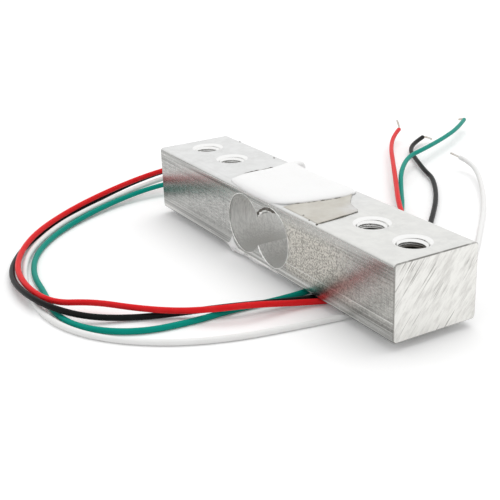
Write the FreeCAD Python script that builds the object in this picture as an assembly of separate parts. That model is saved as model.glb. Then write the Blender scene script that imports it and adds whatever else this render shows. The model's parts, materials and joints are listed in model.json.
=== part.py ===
import FreeCAD, Part
import math
import os

from FreeCAD import Vector

# Bar, in millimetres: long axis on X, width on Y, height on Z
bar_length = 76.2
bar_width = 15.9
bar_height = 12.7
bar_edge_radius = 1.0
saw_edge_chamfer = 0.2

# Flexure cut-out: two bores across the bar that run into each other
lobe_radius = 5.35
lobe_spacing = 9.2

# Tapped holes through the bar, two near each end
hole_end_distance = 5.7
hole_spacing = 10.0
thread_radius = 2.5
countersink_radius = 3.0

# Strain gauge: two grids on one backing, one gauge above and one below the flexure
backing_length = 14.6
backing_width = 4.6
backing_thickness = 0.05
foil_thickness = 0.02
grid_length = 4.0
grid_width = 3.0
grid_strands = 8
grid_slot_width = 0.16
grid_end_loop = 0.4
tab_length = 1.4
tab_width = 1.1
gauge_solder_radius = 0.45
gauge_solder_height = 0.4

# Terminal board on the back face, with one pad for each lead
board_length = 4.6
board_height = 9.4
board_thickness = 0.4
board_near_edge = -12.3
pad_length = 3.8
pad_height = 1.3
pad_thickness = 0.05
pad_pitch = 2.3
pad_solder_radius = 0.64
pad_solder_height = 0.7
pad_solder_inset = 1.0
solder_film = 0.03
wire_end_gap = 0.1

# Fine wires from the gauges to the terminal board
jumper_radius = 0.1
jumper_gap = 0.1
jumper_row_start = 4.9
jumper_row_pitch = 0.55
jumper_column_start = -11.7
jumper_column_pitch = 0.5

# Sealant, which covers the gauges, the fine wires and the terminal board
top_sealant_height = 0.9
bottom_sealant_height = 1.3
side_sealant_depth = 1.9
sealant_near_end = 9.4
sealant_far_end = -11.4
sealant_far_back = -12.6
sealant_front_radius = 3.6
sealant_back_radius = 0.8
sealant_edge_slope = 0.6
sealant_margin = 0.1
bottom_sealant_setback = 1.6
side_sealant_far_end = -20.0
side_sealant_near_end = -10.3
bridge_far_edge = -12.4
bridge_depth = 1.45
bridge_height = 0.75
run_out_length = 12.0
run_out_reach = 2.2
run_out_height = 0.7
run_out_wrap = 0.3
run_out_place = -5.5

# Film on the top face, which the sealant partly covers
film_thickness = 0.08
film_inner_end = 7.6
film_outer_end = 17.6
film_cut_start = 1.7
film_cut_end = 10.2
film_corner_radius = 0.3

# Leads
lead_radius = 0.525
conductor_radius = 0.225
lead_seat_depth = 2.5
tinned_length = 2.6
arc_share = 0.45
wire_sides = 5

# Places that follow from the sizes above
bar_bottom = bottom_sealant_height
bar_top = bar_bottom + bar_height
bar_middle = bar_bottom + bar_height / 2
back_face = bar_width / 2
flat_half_width = bar_width / 2 - bar_edge_radius
pad_top = board_thickness + pad_thickness
foil_top = backing_thickness + foil_thickness
pad_centre_x = board_near_edge - board_length / 2
pad_solder_x = pad_centre_x + pad_length / 2 - pad_solder_inset
lead_depth = pad_top + solder_film + conductor_radius
lead_start_x = side_sealant_far_end + lead_seat_depth

# Leads from the highest pad to the lowest
lead_order = ["red", "white", "green", "black"]

# Routes after the exit from the sealant: out past the far end, round in a loose loop on the
# surface that the bar stands on, under the bar and away behind it
lead_routes = {
    "red": [
        (-25, 8.8, 10.9), (-33.5, 9.9, 9.8), (-42.5, 9.2, 7.9), (-49.4, 3.6, 5.9),
        (-52, -5.6, 4.2), (-49.8, -17, 2.8), (-44.2, -27.8, 2.2), (-35.3, -37.9, 2.1),
        (-24.4, -44.5, 1.9), (-13.8, -46.5, 1.9), (-4.2, -45, 1.9), (1.2, -38.9, 1.7),
        (7.3, -31.6, 1.85), (12.2, -25.7, 2.2), (15.8, -18.9, 2.5), (16.9, -11.6, 1.1),
        (19.4, -4.2, 0.53), (21, 5.4, 0.57), (16.8, 14.2, 0.95), (9.2, 20.8, 1.8),
        (-0.6, 25.6, 2.0), (-9.7, 31.3, 2.2), (-19.6, 38.6, 2.5), (-30.6, 46.6, 2.6),
        (-41.4, 54.8, 2.5), (-48.6, 61.4, 2.8), (-52.2, 65.6, 3.0),
    ],
    "white": [
        (-25, 8.7, 8.5), (-33.5, 9.3, 7.4), (-41.5, 8.6, 5.9), (-48.2, 3.8, 4.6),
        (-50.8, -4, 3.5), (-49, -13, 2.6), (-44.9, -22.4, 2.1), (-39.6, -31.3, 1.6),
        (-31, -39.9, 1.0), (-21, -44.3, 0.6), (-10.4, -46.6, 0.53), (-1.2, -47.4, 0.53),
        (7, -45.6, 0.53), (13.6, -41, 0.53), (18.4, -33.8, 0.53), (21.6, -25.4, 0.53),
        (23.6, -15.6, 0.53), (25.4, -5, 0.55), (26.6, 5.5, 0.55), (24.6, 15.5, 0.55),
        (19.4, 25, 0.55), (11, 33.4, 0.6), (2.4, 42.2, 0.9), (-7, 51, 1.3),
        (-15.4, 57.2, 2.0), (-20.4, 59.6, 2.6), (-23.4, 60.2, 3.0),
    ],
    "green": [
        (-25, 8.8, 6.2), (-33.5, 9.6, 5.2), (-41.4, 8.6, 4.0), (-47, 3.4, 3.1),
        (-49.3, -4.6, 2.2), (-48.2, -13.2, 1.4), (-44.1, -22.8, 0.9), (-38.2, -31.7, 0.6),
        (-30, -38.9, 0.53), (-20.5, -42.7, 0.53), (-11.5, -43.7, 0.53), (-2, -45.4, 0.53),
        (5.8, -43.2, 0.53), (11.6, -36.6, 0.53), (12.9, -27.7, 0.53), (12.6, -20.2, 0.53),
        (13.4, -12.3, 0.53), (13.4, -3, 0.55), (10.8, 6.5, 0.55), (6, 15.5, 0.55),
        (-1, 24, 0.55), (-9.5, 32.9, 0.6), (-17.9, 39.3, 1.3), (-25, 44.8, 2.6),
        (-30.8, 51.2, 3.1), (-33.4, 58.2, 3.2), (-37.4, 67, 3.0), (-49.6, 85.2, 3.0),
    ],
    "black": [
        (-25, 9.0, 4.1), (-34, 10.4, 3.7), (-43.8, 10.2, 3.2), (-51.6, 4.4, 2.8),
        (-54, -5, 2.3), (-50.4, -17.2, 1.6), (-43.4, -28.6, 1.0), (-36.2, -37.8, 0.7),
        (-27.6, -44.2, 0.7), (-18.2, -47.2, 1.3), (-9.4, -47.4, 1.85), (-1.8, -45.8, 1.95),
        (3.8, -41.9, 1.25), (6.9, -36.4, 0.6), (9.0, -30.4, 0.6), (11.1, -25.2, 1.25),
        (13.4, -20.2, 1.95), (15.2, -15.6, 1.2), (15.8, -9.6, 0.53), (16, -1, 0.55),
        (14.8, 8, 0.55), (11.8, 16.8, 0.53), (7, 25, 0.53), (0, 32.6, 0.65),
        (-8.6, 40, 0.8), (-16.8, 46.6, 1.0), (-32, 54.4, 1.1), (-38.8, 58.4, 1.2),
        (-43.2, 63.2, 1.5), (-46.2, 68.4, 1.8),
    ],
}

# How far each bare end leans sideways and up from its lead's own line
tinned_lean = {"red": (1.3, 0.3), "white": (0.4, 0.2), "green": (1.9, -0.7), "black": (-1.9, -0.8)}


def corner_arc(before, corner, after, radius):
    """Start, middle and end of the arc that rounds a corner."""
    back = (before - corner).normalize()
    ahead = (after - corner).normalize()
    half_angle = back.getAngle(ahead) / 2
    reach = radius / math.tan(half_angle)
    depth = radius / math.sin(half_angle) - radius
    return corner + back * reach, corner + (back + ahead).normalize() * depth, corner + ahead * reach


def rounded_path(points, radii):
    """Wire of straight runs with a tangent arc at every inner point."""
    edges = []
    start = points[0]
    for before, corner, after, radius in zip(points, points[1:], points[2:], radii):
        arc_start, arc_middle, arc_end = corner_arc(before, corner, after, radius)
        edges.append(Part.LineSegment(start, arc_start).toShape())
        edges.append(Part.Arc(arc_start, arc_middle, arc_end).toShape())
        start = arc_end
    edges.append(Part.LineSegment(start, points[-1]).toShape())
    return Part.Wire(edges)


def rounded_plate(corners, radii, base, height):
    """Plate with a rounded outline, from base up by height, or down where height is negative."""
    outline = [Vector(x, y, base) for x, y in corners]
    seam = (outline[0] + outline[-1]) * 0.5
    face = Part.Face(rounded_path([seam] + outline + [seam], radii))
    return face.extrude(Vector(0, 0, height))


def edges_at(plate, level):
    """Edges of a plate that lie at one height."""
    return [e for e in plate.Edges if abs(e.BoundBox.ZMin - level) + abs(e.BoundBox.ZMax - level) < 1e-6]


def flat_sided_ring(centre, direction, radius):
    """Outline of a wire's section, with its corners on the wire's radius."""
    placement = FreeCAD.Placement(centre, FreeCAD.Rotation(Vector(0, 0, 1), direction))
    turns = [2 * math.pi * side / wire_sides for side in range(wire_sides + 1)]
    corners = [Vector(math.cos(turn), math.sin(turn), 0) * radius for turn in turns]
    return Part.makePolygon([placement.multVec(corner) for corner in corners])


def bent_wire(points, radii, radius):
    """Wire along straight runs and tangent arcs."""
    section = flat_sided_ring(points[0], points[1] - points[0], radius)
    return rounded_path(points, radii).makePipeShell([section], True, False)


def creased_wire(points, radius):
    """Fine wire along straight runs, creased at every corner."""
    section = flat_sided_ring(points[0], points[1] - points[0], radius)
    mitred = 1
    return Part.makePolygon(points).makePipeShell([section], True, False, mitred)


def block(x_low, x_high, y_low, y_high, z_low, z_high):
    return Part.makeBox(x_high - x_low, y_high - y_low, z_high - z_low, Vector(x_low, y_low, z_low))


def below(shape):
    """The same shape under the bar."""
    return shape.mirror(Vector(0, 0, bar_middle), Vector(0, 0, 1))


def flexure_bar():
    half_length = bar_length / 2
    bar = block(-half_length, half_length, -back_face, back_face, bar_bottom, bar_top)
    long_edges = [e for e in bar.Edges if abs(e.BoundBox.XLength - bar_length) < 1e-6]
    bar = bar.makeFillet(bar_edge_radius, long_edges)
    end_edges = [e for e in bar.Edges if e.BoundBox.XLength < 1e-6]
    bar = bar.makeChamfer(saw_edge_chamfer, end_edges)
    for side in (-1, 1):
        centre = Vector(side * lobe_spacing / 2, -back_face, bar_middle)
        bar = bar.cut(Part.makeCylinder(lobe_radius, bar_width, centre, Vector(0, 1, 0)))
    for side in (-1, 1):
        for step in (0, 1):
            bar = bar.cut(tapped_hole(side * (half_length - hole_end_distance - step * hole_spacing)))
    return bar


def tapped_hole(x):
    """Threaded bore with a countersink at both mouths."""
    depth = countersink_radius - thread_radius
    profile = [
        (0, bar_bottom), (countersink_radius, bar_bottom), (thread_radius, bar_bottom + depth),
        (thread_radius, bar_top - depth), (countersink_radius, bar_top), (0, bar_top), (0, bar_bottom),
    ]
    outline = Part.makePolygon([Vector(x + r, 0, z) for r, z in profile])
    return Part.Face(outline).revolve(Vector(x, 0, 0), Vector(0, 0, 1), 360)


def gauge_backing():
    half_length, half_width = backing_length / 2, backing_width / 2
    return block(-half_length, half_length, -half_width, half_width, bar_top, bar_top + backing_thickness)


def gauge_grid(side, base):
    """Meander of one grid: a plate with slots from alternate ends."""
    centre = side * lobe_spacing / 2
    low, high = centre - grid_length / 2, centre + grid_length / 2
    pitch = grid_width / grid_strands
    grid = block(low, high, -grid_width / 2, grid_width / 2, base, base + foil_thickness)
    for slot in range(1, grid_strands):
        y = -grid_width / 2 + slot * pitch
        opens_inward = slot % 2 == 1
        near_loop = grid_end_loop if opens_inward == (side > 0) else 0
        far_loop = grid_end_loop - near_loop
        half_slot = grid_slot_width / 2
        grid = grid.cut(block(low + far_loop, high - near_loop, y - half_slot, y + half_slot,
                              base, base + foil_thickness))
    return grid


def tab_places():
    """Centres of the three solder tabs between the grids: supply, signal, return."""
    inner_end = lobe_spacing / 2 - grid_length / 2
    back_row = grid_width / 2 - tab_width / 2
    return [(-inner_end + tab_length / 2, back_row), (0, -back_row), (inner_end - tab_length / 2, back_row)]


def gauge_foil():
    """Two grids in series, with a tab at each end and one between them."""
    base = bar_top + backing_thickness
    inner_end = lobe_spacing / 2 - grid_length / 2
    strand = grid_width / grid_strands - grid_slot_width / 2
    pieces = [gauge_grid(1, base)]
    for x, y in tab_places():
        pieces.append(
            block(x - tab_length / 2, x + tab_length / 2, y - tab_width / 2, y + tab_width / 2,
                  base, base + foil_thickness)
        )
    front = -grid_width / 2
    pieces.append(block(-inner_end, inner_end, front, front + strand, base, base + foil_thickness))
    return gauge_grid(-1, base).multiFuse(pieces).removeSplitter()


def jumper_points(column, tab, pad, depth):
    """Run of one fine wire from a gauge tab, over the back edge, to a terminal pad."""
    row = jumper_row_start + (2 - column) * jumper_row_pitch
    edge_x = jumper_column_start + (2 - column) * jumper_column_pitch
    level = bar_top + foil_top + solder_film + jumper_radius
    back = back_face + depth
    return [
        Vector(tab[0], tab[1], level),
        Vector(tab[0], row, level),
        Vector(edge_x, row, level),
        Vector(edge_x, back, level),
        Vector(edge_x, back, pad),
        Vector(pad_solder_x + wire_end_gap / 2, back, pad),
    ]


def pad_level(index):
    """Height of a terminal pad, counted from the top."""
    return bar_middle + ((len(lead_order) - 1) / 2 - index) * pad_pitch


def jumper_set(pads, depth, turn_over):
    """Three fine wires that lie beside each other without crossing."""
    wires = []
    for column, tab, pad in zip((2, 1, 0), tab_places(), pads):
        height = pad_level(pad)
        height = 2 * bar_middle - height if turn_over else height
        wire = creased_wire(jumper_points(column, tab, height, depth), jumper_radius)
        wires.append(below(wire) if turn_over else wire)
    return Part.makeCompound(wires)


def solder_cone(centre, radius, height, direction, wires):
    """Solder over a joint, with the wire ends let into it."""
    base = flat_sided_ring(centre, direction, radius)
    crown = flat_sided_ring(centre + direction * height, direction, radius / 2)
    return Part.makeLoft([base, crown], True, True).cut(wires)


def gauge_solder(wires):
    level = bar_top + foil_top
    up = Vector(0, 0, 1)
    return Part.makeCompound(
        [solder_cone(Vector(x, y, level), gauge_solder_radius, gauge_solder_height, up, wires)
         for x, y in tab_places()]
    )


def terminal_board():
    low = board_near_edge - board_length
    half_height = board_height / 2
    return block(low, board_near_edge, back_face, back_face + board_thickness,
                 bar_middle - half_height, bar_middle + half_height)


def terminal_pads():
    low = pad_centre_x - pad_length / 2
    pads = []
    for index in range(len(lead_order)):
        z = pad_level(index)
        pads.append(block(low, low + pad_length, back_face + board_thickness, back_face + pad_top,
                          z - pad_height / 2, z + pad_height / 2))
    return Part.makeCompound(pads)


def lead_tails(leads):
    """Bare conductor of each lead on its pad, from the end of its jacket."""
    length = pad_solder_x - wire_end_gap / 2 - lead_start_x
    tails = []
    for index, jacket in enumerate(leads):
        start = Vector(lead_start_x, back_face + lead_depth, pad_level(index))
        section = flat_sided_ring(start, Vector(1, 0, 0), conductor_radius)
        tails.append(Part.Face(section).extrude(Vector(length, 0, 0)).cut(jacket))
    return Part.makeCompound(tails)


def terminal_solder(wires):
    outward = Vector(0, 1, 0)
    return Part.makeCompound([
        solder_cone(Vector(pad_solder_x, back_face + pad_top, pad_level(index)), pad_solder_radius,
                    pad_solder_height, outward, wires)
        for index in range(len(lead_order))
    ])


def sealant_outline(front):
    return [(sealant_far_end, front), (sealant_near_end, front),
            (sealant_near_end, flat_half_width - sealant_margin),
            (sealant_far_back, flat_half_width - sealant_margin)]


def sealant_radii():
    return [sealant_front_radius, sealant_front_radius, sealant_back_radius, sealant_back_radius]


def top_sealant():
    front = -flat_half_width + sealant_margin
    pad = rounded_plate(sealant_outline(front), sealant_radii(), bar_top, top_sealant_height)
    return pad.makeChamfer(sealant_edge_slope, edges_at(pad, bar_top + top_sealant_height))


def bottom_sealant(bar):
    """Pad that the bar stands on, with a thin run-out that wraps the front edge."""
    front = -flat_half_width + bottom_sealant_setback
    pad = rounded_plate(sealant_outline(front), sealant_radii(), bar_bottom, -bottom_sealant_height)
    pad = pad.makeChamfer(sealant_edge_slope, edges_at(pad, 0))
    low, high = run_out_place - run_out_length / 2, run_out_place + run_out_length / 2
    tip = front - run_out_reach
    inside = front + sealant_front_radius
    corners = [(low, tip), (high, tip), (high, inside), (low, inside)]
    radii = [run_out_reach, run_out_reach, sealant_edge_slope, sealant_edge_slope]
    run_out = rounded_plate(corners, radii, bar_bottom + run_out_wrap, -run_out_wrap - run_out_height)
    run_out = run_out.makeChamfer(run_out_height / 2, edges_at(run_out, bar_bottom - run_out_height))
    return pad.fuse(run_out.cut(bar)).removeSplitter()


def side_sealant(bar):
    """Pad on the back face, with a bridge over each back edge to the pads above and below."""
    low, high = bar_bottom + bar_edge_radius, bar_top - bar_edge_radius
    outer = back_face + side_sealant_depth
    pad = block(side_sealant_far_end, side_sealant_near_end, back_face, outer,
                low + sealant_margin, high - sealant_margin)
    rim = [e for e in pad.Edges if e.BoundBox.YMin > outer - 1e-6]
    pad = pad.makeChamfer(sealant_edge_slope, rim)
    bridge_back = back_face + bridge_depth
    bridge = block(bridge_far_edge, side_sealant_near_end, flat_half_width - sealant_margin, bridge_back,
                   bar_middle, bar_top + bridge_height)
    crest = [e for e in bridge.Edges
             if e.BoundBox.YMin > bridge_back - 1e-6 and e.BoundBox.ZMin > bar_top]
    bridge = bridge.makeChamfer(sealant_edge_slope, crest)
    return pad.multiFuse([bridge, below(bridge)]).removeSplitter().cut(bar)


def cover_film():
    front = -flat_half_width + sealant_margin
    back = flat_half_width - sealant_margin
    corners = [(film_inner_end, front), (film_outer_end, front), (film_outer_end, film_cut_start),
               (film_cut_end, back), (film_inner_end, back)]
    return rounded_plate(corners, [film_corner_radius] * len(corners), bar_top, film_thickness)


def lead_points(name):
    start = Vector(lead_start_x, back_face + lead_depth, pad_level(lead_order.index(name)))
    return [start] + [Vector(*point) for point in lead_routes[name]]


def lead_radii(points):
    """The largest arcs that the runs beside each point leave room for."""
    radii = []
    for before, corner, after in zip(points, points[1:], points[2:]):
        half_angle = (before - corner).getAngle(after - corner) / 2
        shorter = min((before - corner).Length, (after - corner).Length)
        radii.append(arc_share * shorter * math.tan(half_angle))
    return radii


def lead(name):
    points = lead_points(name)
    radii = lead_radii(points)
    body = bent_wire(points, radii, lead_radius)
    length = rounded_path(points, radii).Length
    section = wire_sides / 2 * math.sin(2 * math.pi / wire_sides) * lead_radius ** 2
    share = body.Volume / (section * length)
    print(f"lead_{name}: length {length:.1f}, least radius {min(radii):.1f}, volume share {share:.4f}")
    print("  radii", " ".join(f"{r:.0f}" for r in radii))
    return body


def tinned_end(name):
    """Bare conductor beyond the end of the jacket, bent a little to one side."""
    before, tip = lead_points(name)[-2:]
    along = (tip - before).normalize()
    sideways = Vector(-along.y, along.x, 0).normalize()
    lean, rise = tinned_lean[name]
    elbow = tip + along * (tinned_length / 2)
    end = elbow + along * (tinned_length / 2) + sideways * lean + Vector(0, 0, rise)
    shorter = min((elbow - tip).Length, (end - elbow).Length)
    half_angle = (tip - elbow).getAngle(end - elbow) / 2
    return bent_wire([tip, elbow, end], [arc_share * shorter * math.tan(half_angle)], conductor_radius)


def main():
    nodes = {"flexure_bar": flexure_bar()}
    jumper_depth = pad_top + solder_film + jumper_radius
    crossing_depth = jumper_depth + 2 * jumper_radius + jumper_gap
    nodes["jumper_wires_top"] = jumper_set((0, 1, 3), jumper_depth, False)
    nodes["jumper_wires_bottom"] = jumper_set((3, 2, 0), crossing_depth, True)
    nodes["gauge_backing_top"] = gauge_backing()
    nodes["gauge_backing_bottom"] = below(nodes["gauge_backing_top"])
    nodes["gauge_foil_top"] = gauge_foil()
    nodes["gauge_foil_bottom"] = below(nodes["gauge_foil_top"])
    nodes["gauge_solder_top"] = gauge_solder(nodes["jumper_wires_top"])
    nodes["gauge_solder_bottom"] = below(gauge_solder(below(nodes["jumper_wires_bottom"])))
    nodes["terminal_board"] = terminal_board()
    nodes["terminal_pads"] = terminal_pads()
    for name in lead_order:
        nodes[f"lead_{name}"] = lead(name)
        nodes[f"tinned_end_{name}"] = tinned_end(name)
    nodes["lead_tails"] = lead_tails([nodes[f"lead_{name}"] for name in lead_order])
    fine_wires = [nodes["jumper_wires_top"], nodes["jumper_wires_bottom"], nodes["lead_tails"]]
    nodes["terminal_solder"] = terminal_solder(fine_wires)
    nodes["cover_film"] = cover_film()
    under_sealant = ("gauge_backing", "gauge_foil", "gauge_solder", "jumper_wires")
    for side, pad in (("top", top_sealant()), ("bottom", bottom_sealant(nodes["flexure_bar"]))):
        nodes[f"{side}_sealant"] = pad.cut([nodes[f"{name}_{side}"] for name in under_sealant])
    nodes["top_sealant"] = nodes["top_sealant"].cut(nodes["cover_film"])
    terminals = [nodes[name] for name in ("terminal_board", "terminal_pads", "terminal_solder")]
    leads = [nodes[f"lead_{name}"] for name in lead_order]
    nodes["side_sealant"] = side_sealant(nodes["flexure_bar"]).cut(fine_wires + terminals + leads)
    os.makedirs("parts", exist_ok=True)
    for name, shape in nodes.items():
        shape.exportStep(f"parts/{name}.step")
        print(f"{name}: {len(shape.Solids)} solids, {shape.Volume:.3f} mm3, valid {shape.isValid()}")


main()
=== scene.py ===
import json
import math
from types import SimpleNamespace

import bmesh
import bpy
from mathutils import Matrix, Vector, noise


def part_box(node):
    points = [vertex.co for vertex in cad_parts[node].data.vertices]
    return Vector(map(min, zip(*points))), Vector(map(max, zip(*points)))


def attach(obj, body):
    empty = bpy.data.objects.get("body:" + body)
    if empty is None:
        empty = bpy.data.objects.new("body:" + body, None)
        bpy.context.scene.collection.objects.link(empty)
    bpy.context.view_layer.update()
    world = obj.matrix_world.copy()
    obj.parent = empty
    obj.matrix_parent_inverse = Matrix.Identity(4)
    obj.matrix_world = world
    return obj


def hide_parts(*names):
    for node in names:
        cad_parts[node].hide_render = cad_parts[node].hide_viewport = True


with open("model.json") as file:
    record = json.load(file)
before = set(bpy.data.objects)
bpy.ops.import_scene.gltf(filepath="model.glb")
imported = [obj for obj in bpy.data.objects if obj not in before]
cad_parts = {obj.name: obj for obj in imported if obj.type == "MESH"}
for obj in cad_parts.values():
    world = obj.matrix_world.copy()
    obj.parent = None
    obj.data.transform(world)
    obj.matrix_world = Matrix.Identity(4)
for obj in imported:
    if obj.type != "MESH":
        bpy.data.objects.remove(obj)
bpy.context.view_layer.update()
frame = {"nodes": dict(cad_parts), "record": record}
nodes = frame["nodes"]
mounts = {m["name"]: m for m in frame["record"]["mounts"]}
mm = 0.001
barLow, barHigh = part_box("flexure_bar")
barMid = (barLow + barHigh) / 2
barHalf = (barHigh - barLow) / 2
edgeRadius = 0.65 * mm  # long edges of the bar
mouthRadius = 3.0 * mm  # countersunk mouths of the tapped holes
up = Vector((0, 0, 1))
print("frame loaded:", len(nodes), "nodes")


# Node helpers
def addNode(tree, kind, **settings):
    node = tree.nodes.new(kind)
    for key, value in settings.items():
        setattr(node, key, value)
    return node


def feed(tree, value, socket):
    if isinstance(value, bpy.types.NodeSocket):
        tree.links.new(value, socket)
    else:
        socket.default_value = value


def mathNode(tree, operation, a, b=0.0, c=0.0):
    node = addNode(tree, "ShaderNodeMath", operation=operation)
    for value, socket in zip((a, b, c), node.inputs):
        feed(tree, value, socket)
    return node.outputs[0]


def times(tree, first, *others):  # product of masks and shares
    for other in others:
        first = mathNode(tree, "MULTIPLY", first, other)
    return first


def most(tree, first, *others):  # greatest of several masks
    for other in others:
        first = mathNode(tree, "MAXIMUM", first, other)
    return first


def awayFrom(tree, value, middle):  # distance to either side of a middle
    return mathNode(tree, "ABSOLUTE", mathNode(tree, "SUBTRACT", value, middle))


def hypotenuse(tree, a, b):
    return mathNode(tree, "SQRT", mathNode(tree, "ADD", times(tree, a, a), times(tree, b, b)))


def mapRange(tree, value, low, high, toLow=0.0, toHigh=1.0, smooth=True):
    node = addNode(tree, "ShaderNodeMapRange", interpolation_type="SMOOTHSTEP" if smooth else "LINEAR")
    for part, socket in zip((value, low, high, toLow, toHigh), node.inputs):
        feed(tree, part, socket)
    return node.outputs[0]


def shortOf(tree, reach, limit, insets, least=0.0):  # mask blended in between two distances short of a face
    return mapRange(tree, reach, limit - insets[0], limit - insets[1], least)


def mixColor(tree, factor, a, b):
    node = addNode(tree, "ShaderNodeMix", data_type="RGBA")
    feed(tree, factor, node.inputs[0])
    for value, socket in ((a, node.inputs[6]), (b, node.inputs[7])):
        feed(tree, value if isinstance(value, bpy.types.NodeSocket) else (*value, 1.0), socket)
    return node.outputs[2]


def mixValue(tree, factor, a, b):
    node = addNode(tree, "ShaderNodeMix", data_type="FLOAT")
    for value, socket in zip((factor, a, b), node.inputs[:1] + node.inputs[2:4]):
        feed(tree, value, socket)
    return node.outputs[0]


def noiseNode(tree, coords, scale, detail=3.0, roughness=0.5):
    node = addNode(tree, "ShaderNodeTexNoise")
    feed(tree, coords, node.inputs["Vector"])
    feed(tree, scale, node.inputs["Scale"])
    feed(tree, detail, node.inputs["Detail"])
    feed(tree, roughness, node.inputs["Roughness"])
    return node.outputs["Fac"]


def mapped(tree, coords, scale=(1.0, 1.0, 1.0), turn=(0.0, 0.0, 0.0)):
    node = addNode(tree, "ShaderNodeMapping")
    feed(tree, coords, node.inputs["Vector"])
    node.inputs["Rotation"].default_value = turn
    node.inputs["Scale"].default_value = scale
    return node.outputs[0]


def objectCoords(tree):
    return addNode(tree, "ShaderNodeTexCoord").outputs["Object"]


def axesOf(tree, coords):
    split = addNode(tree, "ShaderNodeSeparateXYZ")
    tree.links.new(coords, split.inputs[0])
    return split.outputs


def newGroup(name, inputs, outputs):
    group = bpy.data.node_groups.new(name, "ShaderNodeTree")
    for label, kind, value in inputs:
        socket = group.interface.new_socket(name=label, in_out="INPUT", socket_type=kind)
        if value is not None:
            socket.default_value = value
    for label, kind in outputs:
        group.interface.new_socket(name=label, in_out="OUTPUT", socket_type=kind)
    return group, group.nodes.new("NodeGroupInput").outputs, group.nodes.new("NodeGroupOutput").inputs


def useGroup(tree, group, **values):
    node = addNode(tree, "ShaderNodeGroup", node_tree=group)
    for label, value in values.items():
        feed(tree, value, node.inputs[label])
    return node.outputs


# Shared surface effects
effectSpec = {
    "smearBroad": (0.42, 0.68), "smearFine": (0.3, 0.7), "smearFineness": 7.0,
    "cloudFineness": 0.12,
    "boldFineness": 0.55, "deepRange": (0.57, 0.66),
}


def buildHandlingMarks():  # faint smears left by handling
    spec = effectSpec
    group, given, out = newGroup(
        "handlingMarks",
        [("Coords", "NodeSocketVector", None), ("Size", "NodeSocketFloat", 300.0)],
        [("Mask", "NodeSocketFloat")])
    broad = noiseNode(group, given["Coords"], given["Size"], detail=2.0, roughness=0.4)
    finer = times(group, given["Size"], spec["smearFineness"])
    fine = noiseNode(group, given["Coords"], finer, detail=3.0, roughness=0.7)
    smear = times(group, mapRange(group, broad, *spec["smearBroad"]),
                  mapRange(group, fine, *spec["smearFine"]))
    feed(group, smear, out["Mask"])
    return group


def buildFineGrain():  # cloudy colour shift with a fine tooth
    group, given, out = newGroup(
        "fineGrain",
        [("Coords", "NodeSocketVector", None), ("Size", "NodeSocketFloat", 2000.0)],
        [("Cloud", "NodeSocketFloat"), ("Tooth", "NodeSocketFloat")])
    broader = times(group, given["Size"], effectSpec["cloudFineness"])
    feed(group, noiseNode(group, given["Coords"], broader, detail=4.0, roughness=0.55), out["Cloud"])
    feed(group, noiseNode(group, given["Coords"], given["Size"], detail=3.0, roughness=0.6), out["Tooth"])
    return group


def buildDrawnLines():  # fine scratches along the coordinates' X, longer as Run gets smaller
    spec = effectSpec
    group, given, out = newGroup(
        "drawnLines",
        [("Coords", "NodeSocketVector", None), ("Size", "NodeSocketFloat", 1800.0),
         ("Run", "NodeSocketFloat", 0.02)],
        [("Lines", "NodeSocketFloat"), ("Deep", "NodeSocketFloat")])
    pull = addNode(group, "ShaderNodeCombineXYZ")
    for value, socket in zip((given["Run"], 1.0, 1.0), pull.inputs):
        feed(group, value, socket)
    drawn = addNode(group, "ShaderNodeVectorMath", operation="MULTIPLY")
    feed(group, given["Coords"], drawn.inputs[0])
    feed(group, pull.outputs[0], drawn.inputs[1])
    bolder = times(group, given["Size"], spec["boldFineness"])
    fine = noiseNode(group, drawn.outputs[0], given["Size"], detail=3.0, roughness=0.65)
    bold = noiseNode(group, drawn.outputs[0], bolder, detail=2.0, roughness=0.5)
    feed(group, fine, out["Lines"])
    feed(group, mapRange(group, bold, *spec["deepRange"]), out["Deep"])
    return group


handlingMarks = buildHandlingMarks()
fineGrain = buildFineGrain()
drawnLines = buildDrawnLines()
print("surface effects built")


def newMaterial(name, **constants):
    material = bpy.data.materials.new(name)
    material.use_nodes = True
    tree = material.node_tree
    shader = tree.nodes["Principled BSDF"]
    for label, value in constants.items():
        socket = shader.inputs[label.replace("_", " ")]
        socket.default_value = value
    return material, tree, shader.inputs


def dress(tree, sockets, color, rough, height, strength, distance):  # colour, roughness and bump of a finish
    feed(tree, color, sockets["Base Color"])
    feed(tree, rough, sockets["Roughness"])
    node = addNode(tree, "ShaderNodeBump")
    node.inputs["Strength"].default_value = strength
    node.inputs["Distance"].default_value = distance
    tree.links.new(height, node.inputs["Height"])
    tree.links.new(node.outputs[0], sockets["Normal"])


def barGround(tree):  # where a point lies on the bar, and the marks that several faces share
    coords = objectCoords(tree)
    x, y, z = axesOf(tree, coords)
    upright = mapped(tree, coords, turn=(0.0, math.radians(90), 0.0))
    return SimpleNamespace(
        coords=coords, x=x, y=y, z=z,
        fromEnd=mathNode(tree, "ABSOLUTE", x),
        fromSide=mathNode(tree, "ABSOLUTE", y),
        fromMid=awayFrom(tree, z, barMid.z),
        aboveLow=mathNode(tree, "SUBTRACT", z, barLow.z),
        grain=useGroup(tree, fineGrain, Coords=coords, Size=3600.0),
        brushed=useGroup(tree, drawnLines, Coords=coords, Size=4300.0, Run=0.2)["Lines"],
        crossed=useGroup(tree, drawnLines, Coords=upright, Size=3200.0, Run=0.12)["Lines"],
        die=useGroup(tree, drawnLines, Coords=coords, Size=2600.0, Run=0.01),
        marks=useGroup(tree, handlingMarks, Coords=coords, Size=180.0)["Mask"])


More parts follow.
